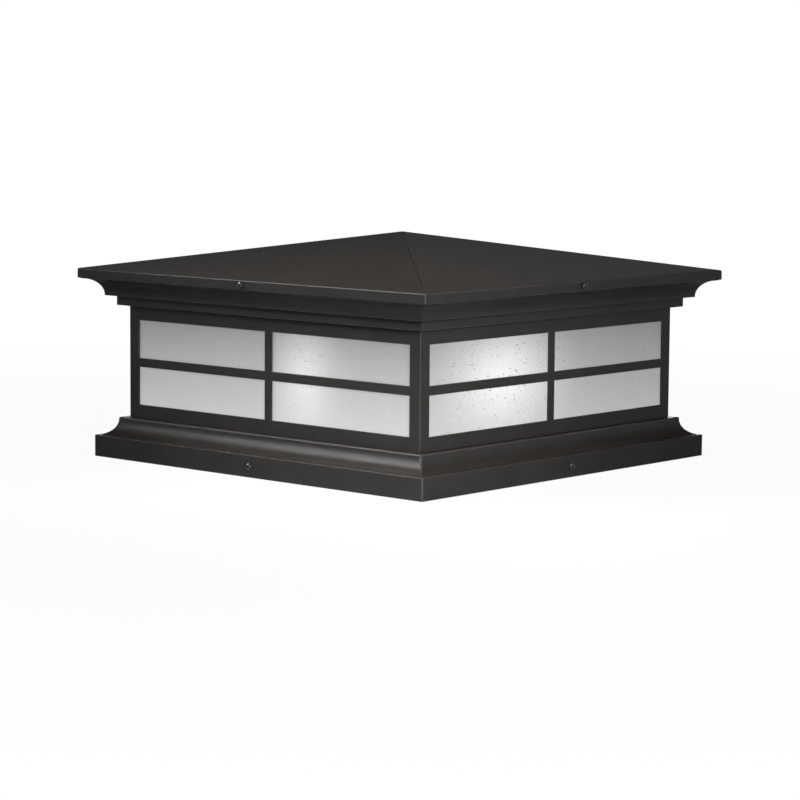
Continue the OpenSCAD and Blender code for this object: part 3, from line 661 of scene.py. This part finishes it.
# %% Rounded copies of the CAD solids
def softened(node, name, material, radius, steps=2, shortest=2.0):
    """A copy of a CAD node with rounded edges, whose narrow new faces are marked as edge.
    The short edges round drilled holes stay sharp, because they would limit the radius."""
    mesh = frame["nodes"][node].data.copy()
    shape = bmesh.new()
    shape.from_mesh(mesh)
    bmesh.ops.remove_doubles(shape, verts=shape.verts, dist=0.0005 * MM)
    bmesh.ops.dissolve_limit(shape, angle_limit=radians(0.5), verts=shape.verts,
                             edges=shape.edges)
    chosen = shape.edges.layers.float.new("bevel_weight_edge")
    for edge_line in shape.edges:
        edge_line[chosen] = float(edge_line.calc_length() > shortest * MM
                                  and edge_line.calc_face_angle(0) > radians(40))
    shape.to_mesh(mesh)
    shape.free()
    mesh.materials.clear()
    mesh.materials.append(material)
    mesh.materials.append(material)
    mesh.polygons.foreach_set("material_index", [0] * len(mesh.polygons))
    piece = new_object(name, mesh)
    bevel = piece.modifiers.new("edges", "BEVEL")
    bevel.width = radius * MM
    bevel.segments = steps
    bevel.limit_method = "WEIGHT"
    bevel.material = 1
    bake(piece)
    marks = [face.material_index for face in piece.data.polygons]
    store(piece.data, "edge", marks, "FACE")
    piece.data.polygons.foreach_set("material_index", [0] * len(marks))
    piece.data.materials.pop(index=1)
    print(name, "edge faces:", sum(marks))
    shade(piece)
    return stand_for(piece, node)


softened("window_cage", "cage", black_paint, 0.5, steps=3)

# %% The pieces inside
for node, name, material, slot_name, radius in (
        ("floor_plate", "floor_sheet", white_paint, "white_paint", 0.25),
        ("lamp_bracket", "bracket", white_paint, "white_paint", 0.3),
        ("lampholder", "lampholder_block", ceramic, "ceramic", 0.6),
        ("lead_clip", "saddle", nylon, "nylon", 0.4),
        ("terminal_block", "terminals", nylon, "nylon", 0.35),
        ("wire_grommet", "grommet", rubber, "rubber", 0.5)):
    softened(node, name, material, radius)
for corner in ("front_right", "back_right", "back_left", "front_left"):
    softened("retainer_" + corner, "angle_" + corner, zinc, 0.2)
    softened("cushions_" + corner, "strips_" + corner, rubber, 0.2)
for node in ("crown_nuts", "roof_nuts", "holder_nuts", "fitting_nuts"):
    softened(node, node.replace("nuts", "hexagons"), zinc, 0.2)

# %% [markdown]
# ## Seeded glass
# Seeded glass has small bubbles frozen in it. From a step away each one is a dark speck of a
# millimetre, now and then drawn out level. They could be a texture, but real bumps also catch
# the light from the side. Geometry Nodes scatters over two thousand low bubbles on the two
# broad faces of each panel, with a fixed seed so that every run gives the same glass.

# %% The bubble scatter
BROAD_FACE = 0.01               # only the two broad faces are larger, in square metres
seeds, given, result = start_group(
    "Glass bubbles", "GeometryNodeTree",
    {"Panel": ("Geometry", None), "Bubbles per square metre": ("Float", 42000.0),
     "Bubble radius": ("Float", 0.65 * MM), "Seed": ("Int", 1),
     "Glass": ("Material", None), "Bubble": ("Material", None)},
    {"Glazing": ("Geometry", None)})
area = put(seeds, "GeometryNodeInputMeshFaceArea")
broad = put(seeds, "FunctionNodeCompare", {0: area, 1: BROAD_FACE}, data_type="FLOAT",
            operation="GREATER_THAN")
points = put(seeds, "GeometryNodeDistributePointsOnFaces",
             {"Mesh": given["Panel"], "Selection": broad,
              "Density": given["Bubbles per square metre"], "Seed": given["Seed"]})
bubble = put(seeds, "GeometryNodeMeshUVSphere",
             {"Segments": 6, "Rings": 4, "Radius": given["Bubble radius"]})
smooth = put(seeds, "GeometryNodeSetShadeSmooth", {"Geometry": bubble})
chance = put(seeds, "FunctionNodeRandomValue", {"Seed": given["Seed"]},
             data_type="FLOAT_VECTOR")
chance = put(seeds, "ShaderNodeSeparateXYZ", {0: chance}).outputs
do = partial(calc, seeds)
width = do("MULTIPLY_ADD", do("POWER", chance["X"], 3.0), 0.4, 0.55)
drawn_out = do("MULTIPLY_ADD", do("POWER", chance["Y"], 4.0), 4.0, 1.0)
size = put(seeds, "ShaderNodeCombineXYZ", {
    "X": do("MULTIPLY", width, drawn_out), "Y": width, "Z": 0.15})
placed = put(seeds, "GeometryNodeInstanceOnPoints",
             {"Points": points, "Instance": smooth, "Rotation": points.outputs["Rotation"],
              "Scale": size})
real = put(seeds, "GeometryNodeRealizeInstances", {"Geometry": placed})
dark = put(seeds, "GeometryNodeSetMaterial", {"Geometry": real, "Material": given["Bubble"]})
sheet = put(seeds, "GeometryNodeSetMaterial",
            {"Geometry": given["Panel"], "Material": given["Glass"]})
both = put(seeds, "GeometryNodeJoinGeometry")
for part in (dark, sheet):
    fill(seeds, both, {0: part})
fill(seeds, result, {"Glazing": both})
print("bubble tree:", len(seeds.nodes), "nodes")

# %% The four panels
GLASS_OUT = -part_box("glass_front")[0].y
GLOW_Z = 89 * MM
GLOW_TALL = 28 * MM
# Each side is painted with its own glow. Its spot sits off the middle of the pane, towards the
# front right corner on the front and right panes and towards the back left corner on the others.
# The right and left panes have a stronger spot and a weaker veil than the front and back.
for number, (side, x, y, wide, peak, veil, bounce) in enumerate((
        ("front", 0.041, -GLASS_OUT, 0.021, 0.29, 0.11, 0.31),
        ("right", GLASS_OUT, -0.0635, 0.044, 0.47, 0.085, 0.26),
        ("back", -0.041, GLASS_OUT, 0.021, 0.29, 0.11, 0.31),
        ("left", -GLASS_OUT, 0.0635, 0.044, 0.47, 0.085, 0.26))):
    centre, spread = (x, y, GLOW_Z), (wide, wide, GLOW_TALL)
    pane = lit_glass("seeded_glass_" + side, (0.1, 0.1, 0.099), centre, spread, peak, veil,
                     bounce)
    # A bubble scatters the light straight from the lamp, and lets the soft light through.
    speck = lit_glass("bubble_" + side, (0.095, 0.095, 0.094), centre, spread, 0.3 * peak,
                      0.96 * veil, 0.95 * bounce, roughness=0.6)
    panel = softened("glass_" + side, "pane_" + side, pane, 0.3)
    run_tree(panel, seeds, Seed=number + 3, Glass=pane, Bubble=speck)
    print(panel.name, len(panel.data.polygons), "faces")

# %% [markdown]
# ## Screws
# The lantern is held together by small pan head screws with a cross recess. The CAD frame says
# where each one sits, and how long it is. One head and one threaded shank are modelled, and a
# Geometry Nodes tree puts a copy of both on each place, turned by a random angle, because
# nobody lines up screws.

# %% The head
HEAD_RADIUS = 3.0 * MM
HEAD_HEIGHT = 2.4 * MM


def turned(outline, segments=40):
    """A solid turned on a lathe from an outline of (radius, height), both ends on the axis."""
    shape = bmesh.new()
    chain = [shape.verts.new((r, 0, z)) for r, z in outline]
    edges = [shape.edges.new(pair) for pair in zip(chain, chain[1:])]
    bmesh.ops.spin(shape, geom=chain + edges, cent=(0, 0, 0), axis=(0, 0, 1), angle=2 * pi,
                   steps=segments, use_duplicate=False)
    bmesh.ops.remove_doubles(shape, verts=shape.verts, dist=0.001 * MM)
    bmesh.ops.recalc_face_normals(shape, faces=shape.faces)
    return new_mesh("turned", shape)


def screw_head():
    """Domed head with a tapered cross recess."""
    r, h = HEAD_RADIUS, HEAD_HEIGHT
    dome = [(r * cos(a), h * 0.45 + h * 0.55 * sin(a))
            for a in [radians(90 * k / 10) for k in range(11)]]
    head = new_object("screw_head", turned([(0, 0), (r * 0.93, 0), (r * 0.99, h * 0.08), *dome]))
    recess = bmesh.new()
    for turn in (0, 1):
        made = bmesh.ops.create_cube(recess, size=1)["verts"]
        for v in made:
            lower = v.co.z < 0          # the recess narrows towards its floor
            v.co.x *= r * (0.55 if lower else 1.12)
            v.co.y *= r * (0.18 if lower else 0.3)
            v.co.z = h * (0.42 if lower else 1.2)
            if turn:
                v.co.x, v.co.y = -v.co.y, v.co.x
    carve(head, recess, crossing=True)
    return shade(head)


head = screw_head()
print("screw head faces:", len(head.data.polygons))

# %% [markdown]
# A thread is a groove along a helix. A rod whose radius rises and falls with the angle and the
# height looks the same as a swept groove, and has far fewer faces.

# %% The thread
RINGS_PER_TURN = 4


def threaded_shank(length, radius=1.5 * MM, depth=0.28 * MM, pitch=0.5 * MM, around=12):
    """A rod from z = 0 down, whose radius rises and falls along a helix."""
    shape = bmesh.new()
    rings = int(length / pitch * RINGS_PER_TURN)
    rows = []
    for i in range(rings + 1):
        z = -length * i / rings
        row = []
        for j in range(around):
            phase = -z / pitch + j / around
            rise = 1 - abs(2 * (phase - floor(phase)) - 1)
            narrow = min(1.0, (length + z) / (2 * pitch))
            r = radius - depth + depth * rise * narrow
            row.append(shape.verts.new((r * cos(2 * pi * j / around),
                                        r * sin(2 * pi * j / around), z)))
        rows.append(row)
    for upper, lower in zip(rows, rows[1:]):
        for j in range(around):
            k = (j + 1) % around
            shape.faces.new((upper[j], lower[j], lower[k], upper[k]))
    shape.faces.new(rows[0])
    shape.faces.new(rows[-1])
    bmesh.ops.recalc_face_normals(shape, faces=shape.faces)
    mesh = new_mesh("shank", shape)
    mesh.shade_smooth()
    return new_object("shank", mesh)


# %% [markdown]
# The frame's screws are loose shells, and each shell tells its own place. Its longest side is
# the screw's axis, and the head is at the end where the shell is wide.

# %% Read the screws' places from the frame
def screw_places(node):
    """The foot of each head, its direction and the shank's length, from the CAD shells."""
    shape = bmesh.new()
    shape.from_mesh(frame["nodes"][node].data)
    bmesh.ops.remove_doubles(shape, verts=shape.verts, dist=0.0005 * MM)
    left, places = set(shape.verts), []
    while left:
        stack, shell = [min(left, key=lambda v: v.index)], set()
        while stack:
            v = stack.pop()
            if v not in shell:
                shell.add(v)
                stack.extend(line.other_vert(v) for line in v.link_edges)
        left -= shell
        low = [min(v.co[k] for v in shell) for k in range(3)]
        high = [max(v.co[k] for v in shell) for k in range(3)]
        middle = Vector([(a + b) / 2 for a, b in zip(low, high)])
        axis = max(range(3), key=lambda k: high[k] - low[k])
        wide = max(shell, key=lambda v: round(sum((v.co[k] - middle[k]) ** 2 for k in range(3)
                                                  if k != axis), 9))
        way = 1 if wide.co[axis] > middle[axis] else -1
        length = high[axis] - low[axis] - HEAD_HEIGHT
        foot, aim = middle.copy(), Vector((0, 0, 0))
        foot[axis] = (high[axis] if way > 0 else low[axis]) - way * HEAD_HEIGHT
        aim[axis] = way
        places.append((foot, aim, length))
    shape.free()
    return places


# %% [markdown]
# The tree turns each copy to its screw's direction and stretches the shank to its length.

# %% The screw tree
screws, given, result = start_group(
    "Screw set", "GeometryNodeTree",
    {"Places": ("Geometry", None), "Head": ("Object", None), "Shank": ("Object", None),
     "Seed": ("Int", 1), "Material": ("Material", None)},
    {"Screws": ("Geometry", None)})
aim = put(screws, "GeometryNodeInputNamedAttribute", {"Name": "aim"},
          data_type="FLOAT_VECTOR")
stretch = put(screws, "GeometryNodeInputNamedAttribute", {"Name": "stretch"})
turn = put(screws, "FunctionNodeAlignRotationToVector", {"Vector": aim}, axis="Z")
spin = put(screws, "FunctionNodeRandomValue", {2: 0.0, 3: 2 * pi, "Seed": given["Seed"]},
           data_type="FLOAT").outputs[1]
spin = put(screws, "ShaderNodeCombineXYZ", {"Z": spin})
spin = put(screws, "FunctionNodeEulerToRotation", {0: spin})
turn = put(screws, "FunctionNodeRotateRotation", {0: turn, 1: spin}, rotation_space="LOCAL")
both = put(screws, "GeometryNodeJoinGeometry")
scale = put(screws, "ShaderNodeCombineXYZ", {"X": 1.0, "Y": 1.0, "Z": stretch})
for title, size in (("Head", (1, 1, 1)), ("Shank", scale)):
    source = put(screws, "GeometryNodeObjectInfo", {"Object": given[title]})
    copies = put(screws, "GeometryNodeInstanceOnPoints",
                 {"Points": given["Places"], "Instance": source.outputs["Geometry"],
                  "Rotation": turn, "Scale": size})
    fill(screws, both, {0: copies})
real = put(screws, "GeometryNodeRealizeInstances", {"Geometry": both})
painted = put(screws, "GeometryNodeSetMaterial",
              {"Geometry": real, "Material": given["Material"]})
fill(screws, result, {"Screws": painted})
print("screw tree:", len(screws.nodes), "nodes")

# %% Set every screw
def screw_set(node, name, material, seed):
    """All the screws of one CAD node, as one plain mesh."""
    places = screw_places(node)
    mesh = bpy.data.meshes.new(name)
    mesh.from_pydata([foot for foot, aim, length in places], [], [])
    aims = mesh.attributes.new("aim", "FLOAT_VECTOR", "POINT")
    aims.data.foreach_set("vector", [c for foot, aim, length in places for c in aim])
    usual = places[0][2]
    store(mesh, "stretch", [length / usual for foot, aim, length in places])
    shank = threaded_shank(usual)
    piece = run_tree(new_object(name, mesh), screws, Head=head, Shank=shank, Seed=seed,
                     Material=material)
    bpy.data.objects.remove(shank)
    print(name, len(places), "screws,", round(usual / MM, 1), "mm long")
    return stand_for(piece, node)


for seed, (node, name, material, slot_name) in enumerate((
        ("base_screws", "skirt_screws", black_screw, "black_screws"),
        ("roof_screws", "fascia_screws", black_screw, "black_screws"),
        ("floor_screws", "plate_screws", zinc, "zinc_steel"),
        ("retainer_screws", "angle_screws", zinc, "zinc_steel"),
        ("crown_screws", "rim_screws", zinc, "zinc_steel"),
        ("holder_screws", "block_screws", zinc, "zinc_steel"),
        ("fitting_screws", "inside_screws", zinc, "zinc_steel"))):
    screw_set(node, name, material, seed + 11)
bpy.data.objects.remove(head)

# %% [markdown]
# ## The lamp and its wiring
# The lamp is a small glass capsule with a flat pressed base, and its coil glows. These pieces
# have their right shape in CAD, so they stay as they are and only take a finish.

# %% Finishes for the pieces that stay
lamp_low, lamp_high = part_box("lamp_glass")
lamp_centre = (0, 0, (lamp_low.z + lamp_high.z) / 2)
lamp_lit = lit_glass("lamp_glass", (0.8, 0.8, 0.78), lamp_centre, (0.006, 0.008, 0.006),
                     1.2, 0.35, roughness=0.12, bump=0.004)
coil_lit = lit_glass("tungsten", (0.5, 0.45, 0.4), lamp_centre, (0.01, 0.01, 0.01), 3.0, 1.0)
for node, material in (("lamp_glass", lamp_lit), ("lamp_filament", coil_lit),
                       ("lampholder_contacts", brass), ("terminal_sleeves", brass),
                       ("terminal_screws", zinc), ("lead_left", lead_black),
                       ("lead_right", lead_white)):
    part = frame["nodes"][node]
    part.data.materials.clear()
    part.data.materials.append(material)
    print(node, "keeps its CAD shape")

# %% [markdown]
# ## The studio
# A plain pale floor and a pale room stand round the lantern. Two soft boxes, one above the
# other on the left, give the long highlight on the base moulding. A small one on the right
# lights the front corner, and a large one further right fills in. Two low ones behind keep the
# back readable. The floor is nearly white to the camera, and darkens only where the lantern
# shades it. Glossy surfaces see the matt floor close to the lantern, and white further away.

# %% Floor
def floor_material():
    """Pale floor that keeps the shadow and meets the white room without a line."""
    material, tree, shader = new_material("studio_floor")
    tree.nodes.remove(shader)
    place = put(tree, "ShaderNodeTexCoord").outputs["Object"]
    away = put(tree, "ShaderNodeVectorMath", {0: place}, operation="LENGTH").outputs["Value"]
    far = put(tree, "ShaderNodeMapRange", {"Value": away, "From Min": 0.3, "From Max": 1.2,
                                           "To Min": 0.95, "To Max": 1.0})
    apart = put(tree, "ShaderNodeMapRange", {"Value": away, "From Min": 0.35, "From Max": 1.3,
                                             "To Max": 0.8})
    path = put(tree, "ShaderNodeLightPath")
    seen = calc(tree, "MAXIMUM", path.outputs["Is Camera Ray"],
                path.outputs["Is Transmission Ray"])
    white_share = calc(tree, "MULTIPLY_ADD", path.outputs["Is Glossy Ray"], apart,
                       calc(tree, "MULTIPLY", seen, far))
    matt = put(tree, "ShaderNodeBsdfDiffuse", {"Color": (0.62, 0.62, 0.62, 1)})
    white = put(tree, "ShaderNodeEmission", {"Color": (1, 1, 1, 1), "Strength": 1.0})
    mix = put(tree, "ShaderNodeMixShader", {0: white_share, 1: matt, 2: white})
    fill(tree, tree.nodes["Material Output"], {"Surface": mix})
    return material


mesh = bpy.data.meshes.new("floor")
mesh.from_pydata([(-30, -30, 0), (30, -30, 0), (30, 30, 0), (-30, 30, 0)], [], [(0, 1, 2, 3)])
mesh.materials.append(floor_material())
studio_floor = new_object("studio_floor", mesh)
print("floor:", mesh.materials[0].name)

# %% Room
world = bpy.data.worlds.new("room")
bpy.context.scene.world = world
world.use_nodes = True
tree = world.node_tree
tree.nodes.clear()
path = put(tree, "ShaderNodeLightPath")
seen = calc(tree, "MAXIMUM", path.outputs["Is Camera Ray"], path.outputs["Is Glossy Ray"])
seen = calc(tree, "MAXIMUM", seen, path.outputs["Is Transmission Ray"])
up = put(tree, "ShaderNodeSeparateXYZ",
         {0: put(tree, "ShaderNodeTexCoord").outputs["Generated"]}).outputs["Z"]
tone = put(tree, "ShaderNodeMapRange", {"Value": up, "From Min": 0.12, "From Max": 0.32,
                                        "To Min": 1.0, "To Max": 0.05})
light = put(tree, "ShaderNodeBackground", {"Color": (1, 1, 1, 1), "Strength": 0.06})
shown = put(tree, "ShaderNodeBackground", {"Color": (1, 1, 1, 1), "Strength": tone})
mix = put(tree, "ShaderNodeMixShader", {0: seen, 1: light, 2: shown})
put(tree, "ShaderNodeOutputWorld", {0: mix})
print("room:", world.name)

# %% Lamps
FRONT_CORNER = Vector((0.19, -0.19, 0.04))
MIDDLE = Vector((0, 0, 0.1))


def soft_lamp(name, azimuth, elevation, distance, size, power, target, spread):
    """An area lamp that points at a target. Azimuth 0 is at the front. A spread below 180
    is a softbox with a grid in front, which keeps its light together."""
    turn, rise = radians(azimuth), radians(elevation)
    way = Vector((sin(turn) * cos(rise), -cos(turn) * cos(rise), sin(rise)))
    data = bpy.data.lights.new(name, "AREA")
    data.shape = "RECTANGLE"
    data.size, data.size_y = size
    data.energy = power
    data.spread = radians(spread)
    lamp = new_object(name, data)
    lamp.location = target + way * distance
    lamp.rotation_euler = way.to_track_quat("Z", "Y").to_euler()


for lamp in (
        ("key low", -52, 24, 1.5, (0.35, 0.4), 0.43, FRONT_CORNER, 20),
        ("key high", -52, 42, 1.5, (0.35, 0.4), 0.61, FRONT_CORNER, 20),
        ("front", 60, 15, 1.5, (0.25, 0.25), 1.3, FRONT_CORNER, 24),
        ("right", 100, 25, 2.4, (1.2, 1.2), 23, MIDDLE, 180),
        ("back", 200, 2, 2.0, (1.2, 0.25), 20, MIDDLE, 180),
        ("left", -110, 2, 2.0, (1.2, 0.25), 10, MIDDLE, 180)):
    soft_lamp(*lamp)
print("lamps:", len(bpy.data.lights))

# %% [markdown]
# ## The camera
# The camera stands in front of the front right corner, a little above the crown, and looks
# through a long lens.

# %% Camera
AZIMUTH, ELEVATION, ROLL = radians(41.370), radians(6.631), radians(0.455)
DISTANCE, SIDE_STEP, AIM_HEIGHT = 2404.34 * MM, -0.947 * MM, 50.08 * MM

camera_data = bpy.data.cameras.new("camera")
camera_data.sensor_width = 36
camera_data.lens = 121.04
camera_data.clip_end = 100
camera = new_object("camera", camera_data)
back = Vector((sin(AZIMUTH) * cos(ELEVATION), -cos(AZIMUTH) * cos(ELEVATION), sin(ELEVATION)))
right = Vector((cos(AZIMUTH), sin(AZIMUTH), 0))
up = back.cross(right)
camera_x = right * cos(ROLL) + up * sin(ROLL)
camera_y = up * cos(ROLL) - right * sin(ROLL)
camera.location = back * DISTANCE + right * SIDE_STEP + Vector((0, 0, AIM_HEIGHT))
camera.rotation_euler = Matrix((camera_x, camera_y, back)).transposed().to_euler()
bpy.context.scene.camera = camera
bpy.context.scene.view_settings.view_transform = "Standard"
print("camera:", [round(c, 3) for c in camera.location])
